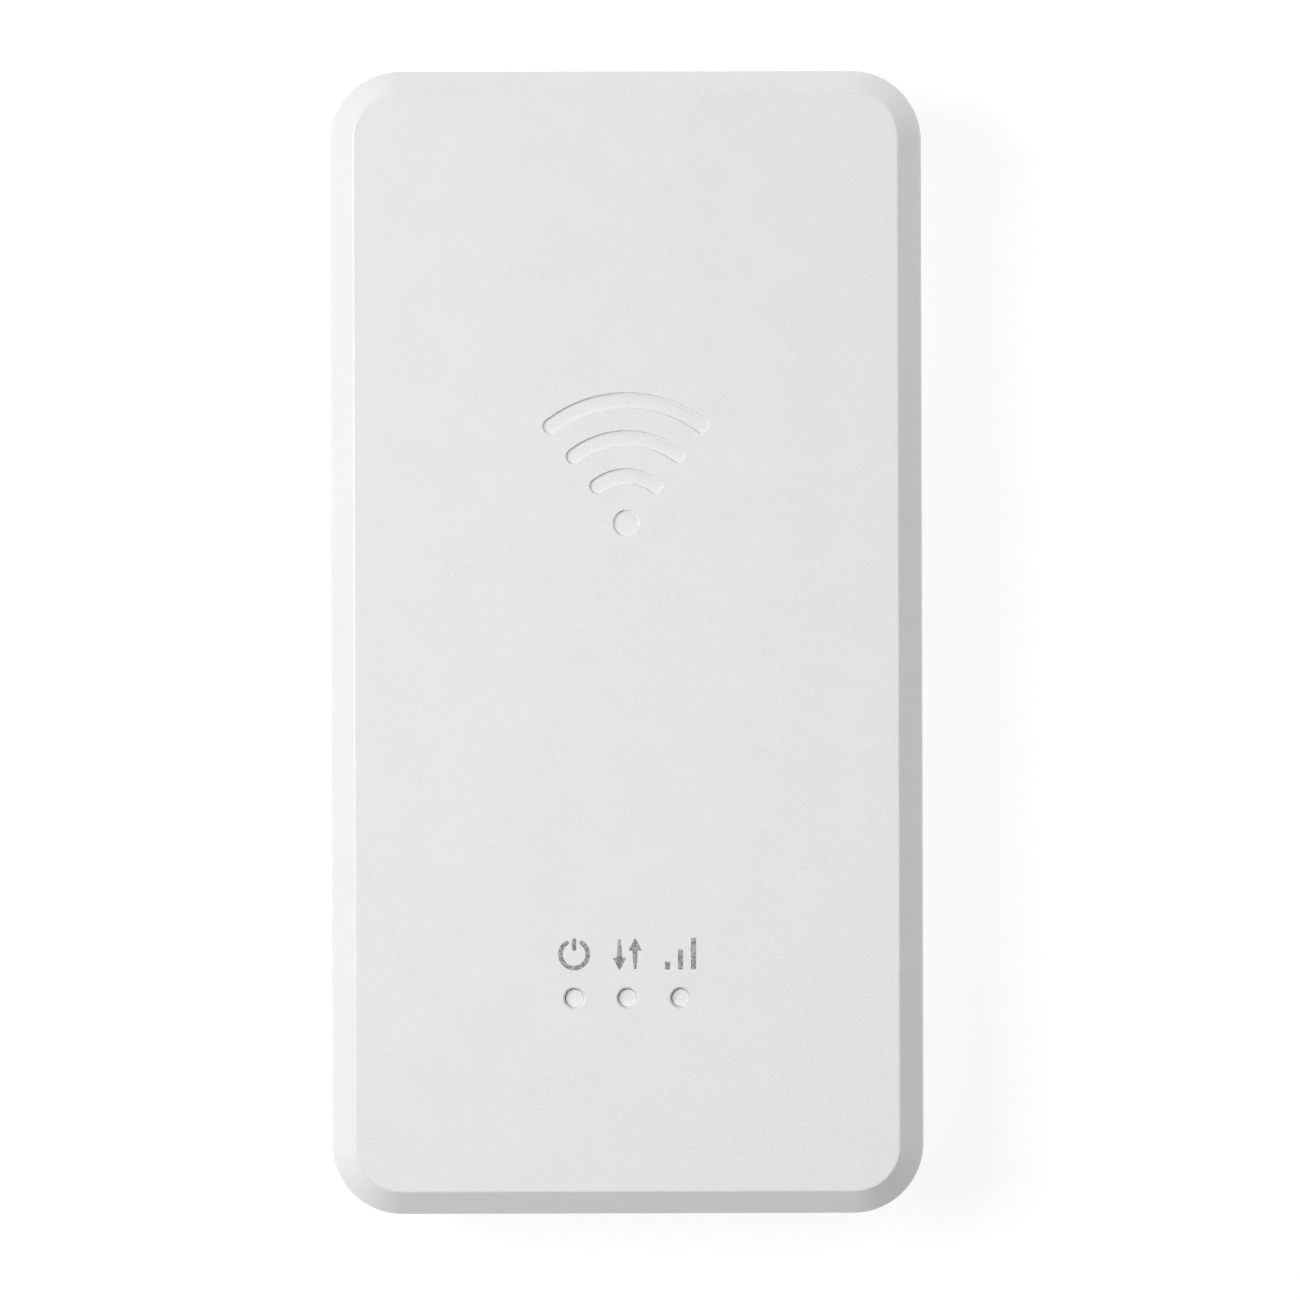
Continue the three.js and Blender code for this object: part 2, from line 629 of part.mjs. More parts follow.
function batteryCell() {
  const y0 = BATTERY.y - BATTERY.length / 2;
  const y1 = batteryEnd - END_CAP_LENGTH - 0.05;
  const height = BATTERY.top - BATTERY.bottom;
  return oblongAlongY(
    y0, y1, 0, (BATTERY.top + BATTERY.bottom) / 2, BATTERY.width, height, BATTERY.corner,
  );
}

// The plastic end that carries the protection circuit, with a pocket for each contact pad.
function batteryEndCap() {
  const body = oblongAlongY(
    batteryEnd - END_CAP_LENGTH, batteryEnd, 0, (BATTERY.top + BATTERY.bottom) / 2,
    BATTERY.width, BATTERY.top - BATTERY.bottom, BATTERY.corner,
  );
  const pockets = CONTACT_XS.map((x) =>
    blockAt(x, batteryEnd, 2.0, 0.8, CONTACT_Z - 1.3, CONTACT_Z + 1.3),
  );
  return cut(body, ...pockets);
}

const batteryPad = (x) =>
  block(x - 0.9, x + 0.9, batteryEnd - 0.35, batteryEnd - 0.1, CONTACT_Z - 1.2, CONTACT_Z + 1.2);

place("battery_cell", batteryCell(), MATERIALS.cell);
place("battery_end_cap", batteryEndCap(), MATERIALS.blackPlastic);
CONTACT_XS.forEach((x, i) => place(`battery_pad_${i + 1}`, batteryPad(x), MATERIALS.gold));

const CONNECTOR = { y0: 23.3, y1: 26.9, z0: 4.4, halfX: 4.8 };

function batteryConnector() {
  const body = block(
    -CONNECTOR.halfX, CONNECTOR.halfX, CONNECTOR.y0, CONNECTOR.y1, CONNECTOR.z0, BOARD_Z - SOLDER_GAP,
  );
  const slots = CONTACT_XS.map((x) =>
    block(x - 0.6, x + 0.6, CONNECTOR.y0 - CUT, CONNECTOR.y0 + 2.6, CONTACT_Z - 0.95, CONTACT_Z + 0.95),
  );
  return cut(body, ...slots);
}

// A hairpin spring strip, drawn in the YZ plane, with its nose towards the battery.
function contactBlade(x) {
  const strip = 0.22;
  const bend = 0.7;
  const noseY = batteryEnd + 0.12 + bend;
  const tailY = CONNECTOR.y0 + 2.3;
  const shape = new THREE.Shape();
  shape.moveTo(tailY, CONTACT_Z + bend);
  shape.absarc(noseY, CONTACT_Z, bend, Math.PI / 2, Math.PI * 1.5, false);
  shape.lineTo(tailY - 0.8, CONTACT_Z - bend);
  shape.lineTo(tailY - 0.8, CONTACT_Z - bend + strip);
  shape.absarc(noseY, CONTACT_Z, bend - strip, Math.PI * 1.5, Math.PI / 2, true);
  shape.lineTo(tailY, CONTACT_Z + bend - strip);
  const geometry = new THREE.ExtrudeGeometry(shape, {
    depth: 0.9,
    bevelEnabled: false,
    curveSegments: 4,
  });
  // The drawing's x and y become Y and Z, and its depth becomes X.
  const turn = new THREE.Matrix4().makeBasis(
    new THREE.Vector3(0, 1, 0), new THREE.Vector3(0, 0, 1), new THREE.Vector3(1, 0, 0),
  );
  return solidOf(geometry.applyMatrix4(turn).translate(x - 0.45, 0, 0));
}

place("battery_connector", batteryConnector(), MATERIALS.blackPlastic);
CONTACT_XS.forEach((x, i) => place(`battery_contact_${i + 1}`, contactBlade(x), MATERIALS.gold));

// ---------------------------------------------------------------- antennas

const CARRIER = { halfX: 17, y0: 48.0, y1: 52.6, z0: 4.9 };
place(
  "antenna_carrier",
  block(-CARRIER.halfX, CARRIER.halfX, CARRIER.y0, CARRIER.y1, CARRIER.z0, BOARD_Z - 0.1),
  MATERIALS.blackPlastic,
);

// A flexible strip folded over the carrier's rear and end faces.
function mainAntenna() {
  const film = 0.2;
  const gap = 0.05;
  const halfX = CARRIER.halfX - 1;
  const z0 = CARRIER.z0 - gap - film;
  const rear = block(-halfX, halfX, CARRIER.y0 + 0.4, CARRIER.y1 + gap + film, z0, z0 + film);
  const end = block(-halfX, halfX, CARRIER.y1 + gap, CARRIER.y1 + gap + film, z0, BOARD_Z - 0.4);
  return join(rear, end);
}

place("lte_main_antenna", mainAntenna(), MATERIALS.copper);
place("lte_aux_antenna", block(-19, -6.5, -52, -44, 2.7, 2.9), MATERIALS.copper);

// A spring clip from the board down to the second antenna's film.
function antennaClip() {
  const y = -50;
  const top = BOARD_Z - SOLDER_GAP;
  const strip = 0.25;
  const foot = block(-13.4, -10.6, y - 0.8, y + 0.8, 2.95, 2.95 + strip);
  const post = block(-13.4, -13.4 + strip, y - 0.8, y + 0.8, 2.95, top);
  const head = block(-13.4, -10.6, y - 0.8, y + 0.8, top - strip, top);
  return join(foot, post, head);
}

place("aux_antenna_clip", antennaClip(), MATERIALS.gold);

// A stamped inverted-F strip that stands on the board's long edge.
function wifiAntenna(x) {
  const y = -16;
  const top = MOUNT_Z + 2.2;
  const arm = blockAt(x, y, 0.3, 15, top - 0.8, top);
  const legs = [y + 7.1, y + 4.2].map((legY) => blockAt(x, legY, 0.3, 0.8, MOUNT_Z, top));
  return join(arm, ...legs);
}

place("wifi_antenna_left", wifiAntenna(-24.6), MATERIALS.copper);
place("wifi_antenna_right", wifiAntenna(24.6), MATERIALS.copper);

// ---------------------------------------------------------------- rear cover

const NOTCH = { x: 0, radius: 9, depth: 0.8, z0: 4.0 };
const ARROW = { y: -47, halfWidth: 2.0, height: 2.4, depth: 0.2 };

function rearCover() {
  const outer = bevelledPrism(0, 0, SEAM_Z, REAR_BEVEL, "bottom");
  const cavity = bevelledPrism(WALL, COVER_SKIN, SEAM_Z + CUT, 1.5, "bottom");
  const snaps = snapBlocks(WALL - 0.3, WALL + SNAP.depth, 0);
  const thumbNotch = rod(
    NOTCH.x, -HALF_L - NOTCH.radius + NOTCH.depth, NOTCH.z0, SEAM_Z + CUT, NOTCH.radius, 64,
  );
  const arrow = prism(
    new THREE.Shape([
      new THREE.Vector2(-ARROW.halfWidth, ARROW.y + ARROW.height),
      new THREE.Vector2(0, ARROW.y),
      new THREE.Vector2(ARROW.halfWidth, ARROW.y + ARROW.height),
    ]),
    -CUT, ARROW.depth,
  );
  return cut(join(cut(outer, cavity), ...snaps), thumbNotch, arrow);
}

place("rear_cover", rearCover(), MATERIALS.whiteShell);
place("battery_foam", blockAt(0, BATTERY.y, 30, 14, COVER_SKIN + 0.02, 1.7), MATERIALS.greyFoam);

export default hotspot;
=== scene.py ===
"""Looks for the pocket mobile hotspot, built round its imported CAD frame.

Sizes are in millimetres until a mesh is made. Positions come from the CAD nodes' boxes.
"""

import json
import math

import bmesh
import bpy
from mathutils import Matrix, Vector


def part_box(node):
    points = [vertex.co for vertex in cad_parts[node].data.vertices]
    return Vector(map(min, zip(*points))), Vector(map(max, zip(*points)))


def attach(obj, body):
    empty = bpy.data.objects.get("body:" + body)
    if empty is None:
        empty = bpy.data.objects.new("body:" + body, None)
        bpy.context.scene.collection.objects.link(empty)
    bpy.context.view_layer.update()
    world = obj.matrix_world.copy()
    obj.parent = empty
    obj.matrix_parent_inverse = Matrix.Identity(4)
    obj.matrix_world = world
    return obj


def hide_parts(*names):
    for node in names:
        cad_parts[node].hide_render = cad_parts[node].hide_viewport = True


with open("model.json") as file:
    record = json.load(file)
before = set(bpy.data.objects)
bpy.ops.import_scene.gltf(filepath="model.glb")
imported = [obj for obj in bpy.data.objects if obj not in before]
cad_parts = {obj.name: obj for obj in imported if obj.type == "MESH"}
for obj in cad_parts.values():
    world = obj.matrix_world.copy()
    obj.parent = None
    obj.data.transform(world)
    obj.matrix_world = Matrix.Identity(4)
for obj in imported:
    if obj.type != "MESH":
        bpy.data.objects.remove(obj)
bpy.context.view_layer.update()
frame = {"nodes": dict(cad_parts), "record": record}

MM = 0.001


def corners(node):
    """Lowest and highest corner of a CAD node, in millimetres."""
    low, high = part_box(node)
    return low / MM, high / MM


def centre(node):
    low, high = corners(node)
    return (low + high) / 2


def size(node):
    low, high = corners(node)
    return high - low


# ---------------------------------------------------------------- driving dimensions

SHELL_LOW, SHELL_HIGH = corners("front_shell")
HALF_W, HALF_L, TOP = SHELL_HIGH
RIM_Z = SHELL_LOW.z
COVER_TOP = corners("rear_cover")[1].z

CORNER_R = 6.9
FRONT_BEVEL = 2.45
REAR_BEVEL = 2.0
BEVEL_OUTER_R = 1.0  # rounding between the side walls and a bevel
BEVEL_INNER_R = 0.36  # rounding between a bevel and a face
RIM_R = 0.18  # rounding along the seam
WALL = 1.3
FRONT_SKIN = 1.6
COVER_SKIN = 1.2
FRONT_INNER_Z = TOP - FRONT_SKIN

LED_HOLE_R = 0.905
LED_RIM_R = 1.07  # of the hole at the front face, above its flare
LED_FLARE = 0.315  # how deep the flare goes
LED_POST_R = 0.865
LED_POST_SHIFT = Vector((0.03, -0.025, 0))  # the posts' play in their holes, taken up one way
LED_POST_RIM = 0.03  # rounding round the top of each light-guide post
LED_DISH = 0.02  # how deep the top of each light-guide post is dished
GUIDE_BAR = (7.6, 1.7, 1.2)  # half length, half width and corner radius of the light guide's bar
GUIDE_BAR_Z = 12.35
GUIDE_FOOT_R = 1.1
LEDS = ["led_power", "led_pairing", "led_signal"]
ICON_RISE = 4.29  # from an indicator's centre up to its icon's centre
INK_HEIGHT = 0.012

EMBLEM_Y = 11.6
EMBLEM_DOT_R = 1.3
EMBLEM_RADII = (4.6, 8.3, 12.0)
EMBLEM_STROKE = 1.5
EMBLEM_HALF_ANGLE = math.radians(38)
EMBLEM_DEPTH = 0.26

BUTTON_FLANGE = Vector((1.0, 0.3))  # how far a flange reaches past its cap along Y and Z
BUTTON_GAP = 0.12
SLOT_GAP = 0.1  # round the SIM tray's face
SOCKET_GAP = 0.15  # round the USB socket
PINHOLE_R = 0.6

BOSS_R = 2.2
PILOT_R = 0.95

SHORTEST_FLAT = 0.01  # half the straight part that an oblong always keeps between its corners

# ---------------------------------------------------------------- outlines, as lists of points


def oblong(half_x, half_y, radius, steps=12):
    """A rectangle with round corners, anticlockwise."""
    radius = min(radius, half_x - SHORTEST_FLAT, half_y - SHORTEST_FLAT)
    points = []
    for quarter, (sx, sy) in enumerate(((1, 1), (-1, 1), (-1, -1), (1, -1))):
        for k in range(steps + 1):
            angle = (quarter + k / steps) * math.pi / 2
            points.append(
                (
                    sx * (half_x - radius) + radius * math.cos(angle),
                    sy * (half_y - radius) + radius * math.sin(angle),
                )
            )
    return points


def circle(radius, steps=48):
    turn = 2 * math.pi / steps
    return [(radius * math.cos(k * turn), radius * math.sin(k * turn)) for k in range(steps)]


def moved(points, dx, dy):
    return [(x + dx, y + dy) for x, y in points]


def arc_band(radius, half_width, start, end, steps=40, cap_steps=10):
    """A round-ended stroke along an arc about the origin."""
    points = []

    def arc(cx, cy, r, a0, a1, count):
        for k in range(count):
            a = a0 + (a1 - a0) * k / (count - 1)
            points.append((cx + r * math.cos(a), cy + r * math.sin(a)))

    def cap(angle, first):
        cx, cy = radius * math.cos(angle), radius * math.sin(angle)
        step = math.pi / (cap_steps + 1)
        for k in range(1, cap_steps + 1):
            a = first + k * step
            points.append((cx + half_width * math.cos(a), cy + half_width * math.sin(a)))

    arc(0, 0, radius + half_width, start, end, steps)
    cap(end, end)
    arc(0, 0, radius - half_width, end, start, steps)
    cap(start, start + math.pi)
    return points


def fillet(path, radii, steps=6, support=0.05):
    """Rounds the inner corners of a path, with one support point on the flat beside each arc."""
    rounded = [Vector(path[0])]
    for before, corner, after, radius in zip(path, path[1:], path[2:], radii):
        corner = Vector(corner)
        back = (Vector(before) - corner).normalized()
        ahead = (Vector(after) - corner).normalized()
        half = back.angle(ahead) / 2
        reach = radius / math.tan(half)
        hub = corner + (back + ahead).normalized() * radius / math.sin(half)
        first = corner + back * reach - hub
        last = corner + ahead * reach - hub
        rounded.append(hub + first + back * support)
        for k in range(steps + 1):
            rounded.append(hub + first.slerp(last, k / steps) * radius)
        rounded.append(hub + last + ahead * support)
    rounded.append(Vector(path[-1]))
    return rounded


# ---------------------------------------------------------------- meshes


def loft(rings, placement=None):
    """A closed solid through rings of equal point counts, in millimetres, capped at both ends."""
    placement = placement or Matrix.Identity(4)
    mesh = bmesh.new()
    loops = [[mesh.verts.new((placement @ Vector(p)) * MM) for p in ring] for ring in rings]
    count = len(loops[0])
    for low, high in zip(loops, loops[1:]):
        for i in range(count):
            j = (i + 1) % count
            mesh.faces.new((low[i], low[j], high[j], high[i]))
    mesh.faces.new(loops[0][::-1])
    mesh.faces.new(loops[-1])
    bmesh.ops.recalc_face_normals(mesh, faces=mesh.faces)
    data = bpy.data.meshes.new("loft")
    mesh.to_mesh(data)
    mesh.free()
    solid = bpy.data.objects.new("loft", data)
    bpy.context.scene.collection.objects.link(solid)
    return solid


def stack(outline_at, profile, placement=None):
    """A loft of outline_at(grow) at each (grow, height) of a profile."""
    rings = [[(x, y, height) for x, y in outline_at(grow)] for grow, height in profile]
    return loft(rings, placement)


def post(spot, radius, low, high, steps):
    """An upright round post over a spot."""
    return stack(
        lambda grow: circle(radius, steps), [(0, low), (0, high)],
        Matrix.Translation((spot.x, spot.y, 0)),
    )


def product_outline(inset):
    return oblong(HALF_W - inset, HALF_L - inset, max(CORNER_R - inset, 0.9), steps=24)


def block(low, high, radius=0.1, edge=0.06):
    """A box with rounded upright corners and softened top and bottom edges."""
    low, high = Vector(low), Vector(high)
    half = (high - low) / 2
    mid = (high + low) / 2
    profile = fillet(
        [(-edge * 2, low.z), (0, low.z), (0, high.z), (-edge * 2, high.z)],
        (edge, edge),
        steps=2,
        support=edge / 10,
    )

    def at(grow):
        return moved(oblong(half.x + grow, half.y + grow, radius + grow, 3), mid.x, mid.y)

    return stack(at, profile)


def combine(solid, operation, tools):
    """Cuts the tools out of a solid or joins them to it, and removes them."""
    for tool in tools:
        step = solid.modifiers.new("combine", "BOOLEAN")
        step.operation = operation
        step.solver = "MANIFOLD"
        step.object = tool
    graph = bpy.context.evaluated_depsgraph_get()
    made = bpy.data.meshes.new_from_object(solid.evaluated_get(graph))
    solid.modifiers.clear()
    solid.data = made
    for tool in tools:
        bpy.data.objects.remove(tool)
    return solid


def side(x_axis, y_axis, origin):
    """The placement of a drawing on a wall: its own x and y axes, with z out of the wall."""
    x_axis, y_axis = Vector(x_axis), Vector(y_axis)
    turned = Matrix((x_axis, y_axis, x_axis.cross(y_axis))).transposed().to_4x4()
    return Matrix.Translation(origin) @ turned


def front_side(x, y):
    return side((1, 0, 0), (0, 1, 0), (x, y, TOP))


def right_side(y, z):
    return side((0, 1, 0), (0, 0, 1), (HALF_W, y, z))


def left_side(y, z):
    return side((0, -1, 0), (0, 0, 1), (-HALF_W, y, z))


def port_side(x, z):
    return side((1, 0, 0), (0, 0, 1), (x, -HALF_L, z))


def opening(outline_at, depth, lip, placement, floor_r=0.0):
    """A cutting tool that goes depth into a wall and flares by lip at the wall's face."""
    profile = [(-floor_r, -depth)]
    for k in range(5):
        a = k / 4 * math.pi / 2
        profile.append((floor_r * (math.sin(a) - 1), -depth + floor_r * (1 - math.cos(a))))
    for k in range(6):
        a = k / 5 * math.pi / 2
        profile.append((lip * (1 - math.cos(a)), -lip * (1 - math.sin(a))))
    profile.append((lip, 1.0))
    distinct = [profile[0]]
    for point in profile[1:]:
        if (Vector(point) - Vector(distinct[-1])).length > 1e-6:
            distinct.append(point)
    return stack(outline_at, distinct, placement)


def finish_piece(piece, name, body, material, replaced=(), sharp_above=32):
    """Names, shades and dresses a new piece, and ties it to the CAD frame."""
    piece.name = name
    piece.data.name = name
    piece.data.materials.clear()
    piece.data.materials.append(material)
    piece.data.shade_smooth()
    piece.data.set_sharp_from_angle(angle=math.radians(sharp_above))
    level = piece.modifiers.new("level_faces", "WEIGHTED_NORMAL")
    level.keep_sharp = True
    level.weight = 100
    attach(piece, body)
    if replaced:
        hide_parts(*replaced)
    return piece


# ---------------------------------------------------------------- materials


class Nodes:
    """A new material's node tree, with short calls for the few nodes used here."""

    def __init__(self, name):
        self.material = bpy.data.materials.new(name)
        self.material.use_nodes = True
        self.tree = self.material.node_tree
        self.shader = self.tree.nodes["Principled BSDF"]
        self.where = self.tree.nodes.new("ShaderNodeTexCoord").outputs["Object"]

    def link(self, output, target):
        self.tree.links.new(output, target)

    def set(self, **values):
        sockets = {socket.name.lower().replace(" ", "_"): socket for socket in self.shader.inputs}
        for key, value in values.items():
            sockets[key].default_value = value

    def noise(self, feature, detail=2.0, stretch=(1, 1, 1)):
        """Noise between 0 and 1 whose features are about so many millimetres across."""
        mapping = self.tree.nodes.new("ShaderNodeMapping")
        mapping.inputs["Scale"].default_value = stretch
        self.link(self.where, mapping.inputs["Vector"])
        node = self.tree.nodes.new("ShaderNodeTexNoise")
        node.inputs["Scale"].default_value = 1 / (feature * MM)
        node.inputs["Detail"].default_value = detail
        self.link(mapping.outputs["Vector"], node.inputs["Vector"])
        return node.outputs["Fac"]

    def specks(self, spacing, radius):
        """1 inside small round spots, about one to each cell of the given spacing."""
        node = self.tree.nodes.new("ShaderNodeTexVoronoi")
        node.inputs["Scale"].default_value = 1 / (spacing * MM)
        self.link(self.where, node.inputs["Vector"])
        return self.range(node.outputs["Distance"], radius / spacing, 0.5 * radius / spacing, 0, 1)

    def range(self, value, low, high, out_low, out_high):
        node = self.tree.nodes.new("ShaderNodeMapRange")
        node.interpolation_type = "SMOOTHSTEP" if (out_low, out_high) == (0, 1) else "LINEAR"
        for key, number in (
            ("From Min", low),
            ("From Max", high),
            ("To Min", out_low),
            ("To Max", out_high),
        ):
            node.inputs[key].default_value = number
        self.link(value, node.inputs["Value"])
        return node.outputs["Result"]

    def mix(self, factor, first, second):
        """A colour between two colours, each a tuple or another node's output."""
        node = self.tree.nodes.new("ShaderNodeMix")
        node.data_type = "RGBA"
        for key, value in (("A", first), ("B", second)):
            socket = [s for s in node.inputs if s.name == key and s.type == "RGBA"][0]
            if isinstance(value, tuple):
                socket.default_value = (*value, 1)
            else:
                self.link(value, socket)
        self.link(factor, node.inputs["Factor"])
        return [s for s in node.outputs if s.type == "RGBA"][0]

    def both(self, first, second):
        """The product of two masks."""
        node = self.tree.nodes.new("ShaderNodeMath")
        node.operation = "MULTIPLY"
        self.link(first, node.inputs[0])
        self.link(second, node.inputs[1])
        return node.outputs["Value"]

    def darken(self, mask, colour, amount):
        """A colour made darker by a share of itself where the mask is 1."""
        darker = self.mix(mask, colour, grey(1 - amount))
        darker.node.blend_type = "MULTIPLY"
        return darker

    def bump(self, height, distance):
        node = self.tree.nodes.new("ShaderNodeBump")
        node.inputs["Distance"].default_value = distance * MM
        self.link(height, node.inputs["Height"])
        earlier = self.shader.inputs["Normal"].links
        if earlier:
            self.link(earlier[0].from_socket, node.inputs["Normal"])
        self.link(node.outputs["Normal"], self.shader.inputs["Normal"])

    def colour(self, output):
        self.link(output, self.shader.inputs["Base Color"])

    def roughness(self, output):
        self.link(output, self.shader.inputs["Roughness"])


def grey(value):
    return (value, value, value)


def tinted(colour, factor):
    return tuple(min(c * factor, 1.0) for c in colour)


def moulded(
    name, colour, roughness=0.5, grain=0.22, depth=0.009, mottle=0.03, specks=0.05, shine=0.5
):
    """Moulded plastic: spark-eroded grain, stronger in patches, and sparse tiny specks."""
    nodes = Nodes(name)
    clouds = nodes.range(nodes.noise(5.0, 3.0), 0.3, 0.7, 0, 1)
    fine = nodes.range(nodes.noise(grain, 3.0), 0.3, 0.7, 0, 1)
    base = nodes.mix(clouds, colour, tinted(colour, 1 - mottle / 10))
    base = nodes.darken(fine, base, mottle)
    base = nodes.darken(nodes.both(fine, clouds), base, mottle)
    base = nodes.darken(nodes.specks(1.7, 0.09), base, specks)
    base = nodes.darken(nodes.specks(7.3, 0.13), base, 3 * specks)
    nodes.colour(base)
    nodes.roughness(nodes.range(fine, 0, 1.001, roughness - 0.06, roughness + 0.06))
    nodes.bump(fine, depth)
    nodes.set(specular_ior_level=shine)
    return nodes.material


def printed_ink(name, dark, light):
    """Thin pad-printed ink, mottled by the grain below it."""
    nodes = Nodes(name)
    patches = nodes.range(nodes.noise(0.26, 3.0), 0.40, 0.60, 0, 1)
    nodes.colour(nodes.mix(patches, grey(dark), grey(light)))
    nodes.bump(nodes.noise(0.14, 3.0), 0.008)
    nodes.set(roughness=0.6)
    return nodes.material


def metal(name, colour, roughness=0.35, stretch=(1, 1, 1), grain=0.08):
    """Stamped or turned metal, with fine lines where stretch draws the noise out."""
    nodes = Nodes(name)
    lines = nodes.noise(grain, 4.0, stretch)
    tarnish = nodes.range(nodes.noise(1.2, 3.0), 0.3, 0.7, 0, 1)
    nodes.colour(nodes.mix(tarnish, tinted(colour, 0.86), tinted(colour, 1.05)))
    nodes.roughness(nodes.range(lines, 0.2, 0.8, roughness - 0.1, roughness + 0.12))
    nodes.bump(lines, 0.004)
    nodes.set(metallic=1.0)
    return nodes.material


def foam(name, colour):
    """Closed-cell foam, with an open cut face."""
    nodes = Nodes(name)
    cells = nodes.noise(0.25, 4.0)
    nodes.colour(nodes.mix(nodes.range(cells, 0.35, 0.65, 0, 1), tinted(colour, 0.6), colour))
    nodes.bump(cells, 0.08)
    nodes.set(roughness=0.95)
    return nodes.material


def solder_mask(name):
    """Green lacquer over copper, with the copper's pattern showing faintly."""
    nodes = Nodes(name)
    bricks = nodes.tree.nodes.new("ShaderNodeTexBrick")
    bricks_per_metre = 300
    bricks.inputs["Scale"].default_value = bricks_per_metre
    bricks.inputs["Color1"].default_value = (0.012, 0.11, 0.045, 1)
    bricks.inputs["Color2"].default_value = (0.018, 0.16, 0.065, 1)
    bricks.inputs["Mortar"].default_value = (0.008, 0.07, 0.03, 1)
    nodes.link(nodes.where, bricks.inputs["Vector"])
    wear = nodes.range(nodes.noise(2.0), 0.3, 0.7, 0, 1)
    nodes.colour(nodes.mix(wear, bricks.outputs["Color"], (0.014, 0.12, 0.05)))
    nodes.bump(bricks.outputs["Fac"], 0.03)
    nodes.set(roughness=0.3)
    return nodes.material


def diffuser(name):
    """Milky light-guide plastic."""
    nodes = Nodes(name)
    haze = nodes.range(nodes.noise(0.5, 3.0), 0.3, 0.7, 0, 1)
    nodes.colour(nodes.mix(haze, grey(0.768), grey(0.798)))
    nodes.bump(nodes.noise(0.2, 2.0), 0.003)
    nodes.set(roughness=0.42)
    return nodes.material


def shrink_film(name):
    """The battery's dark wrap, drawn slightly along its length."""
    nodes = Nodes(name)
    grain = nodes.noise(0.3, 4.0, (1, 6, 1))
    wrap = nodes.mix(nodes.range(grain, 0.3, 0.7, 0, 1), grey(0.030), grey(0.045))
    nodes.colour(wrap)
    nodes.roughness(nodes.range(grain, 0.2, 0.8, 0.3, 0.45))
    nodes.bump(nodes.noise(2.5, 2.0), 0.03)
    return nodes.material


WHITE = grey(0.80)
MATERIALS = {
    "white_shell": moulded("white_shell", WHITE, roughness=0.34, shine=0.7),
    "white_key": moulded("white_key", WHITE, roughness=0.32, depth=0.004, shine=0.7),
    "inner_plastic": moulded("inner_plastic", grey(0.58), roughness=0.5, specks=0.03),
    "black_plastic": moulded("black_plastic", grey(0.022), roughness=0.45, specks=0.2),
    "chip": moulded("chip", grey(0.028), roughness=0.5, grain=0.08, specks=0.2),
    "led": moulded("led", (0.85, 0.80, 0.58), roughness=0.25, depth=0.001),
    "label": moulded("label", (0.80, 0.80, 0.78), roughness=0.35, depth=0.001),
    "sim_card": moulded("sim_card", (0.78, 0.78, 0.77), roughness=0.3, depth=0.001),
    "diffuser": diffuser("diffuser"),
    "black_foam": foam("black_foam", grey(0.02)),
    "grey_foam": foam("grey_foam", grey(0.11)),
    "thermal_pad": foam("thermal_pad", (0.26, 0.38, 0.50)),
    "board": solder_mask("board"),
    "cell": shrink_film("cell"),
    "steel": metal("steel", (0.62, 0.63, 0.65), 0.32, (1, 14, 1)),
    "screw_steel": metal("screw_steel", (0.16, 0.165, 0.175), 0.34),
    "gold": metal("gold", (0.83, 0.56, 0.20), 0.25, (1, 1, 12)),
    "copper": metal("copper", (0.72, 0.36, 0.18), 0.35, (8, 1, 1)),
}
INK = printed_ink("icon_ink", 0.20, 0.43)

# ---------------------------------------------------------------- front shell


def emblem_outlines():
    """The sunk sign's outlines: each takes how far it grows, and gives its points."""
    half = EMBLEM_STROKE / 2
    start, end = math.pi / 2 - EMBLEM_HALF_ANGLE, math.pi / 2 + EMBLEM_HALF_ANGLE
    yield lambda grow: circle(EMBLEM_DOT_R + grow)
    for radius in EMBLEM_RADII:
        yield lambda grow, radius=radius: arc_band(radius, half + grow, start, end)


def side_openings():
    """Cutting tools for the buttons, SIM tray, USB socket and reset pinhole."""
    depth = WALL + 0.5
    for name in ("power_button", "pairing_button"):
        mid, whole = centre(name), size(name)
        half_y = whole.y / 2 - BUTTON_FLANGE.x + BUTTON_GAP
        half_z = whole.z / 2 - BUTTON_FLANGE.y + BUTTON_GAP
        yield opening(
            lambda grow, a=half_y, b=half_z: oblong(a + grow, b + grow, b + grow),
            depth, 0.12, right_side(mid.y, mid.z),
        )
    tray = size("sim_tray")
    yield opening(
        lambda grow: oblong(tray.y / 2 + SLOT_GAP + grow, tray.z / 2 + SLOT_GAP + grow, 9),
        depth, 0.1, left_side(centre("sim_tray").y, centre("sim_tray").z),
    )
    socket = size("usb_shell")
    yield opening(
        lambda grow: oblong(socket.x / 2 + SOCKET_GAP + grow, socket.z / 2 + SOCKET_GAP + grow, 9),
        depth, 0.2, port_side(0, centre("usb_shell").z),
    )
    pinhole = centre("reset_plunger")
    yield opening(
        lambda grow: circle(PINHOLE_R + grow, 32), depth, 0.12, port_side(pinhole.x, pinhole.z)
    )


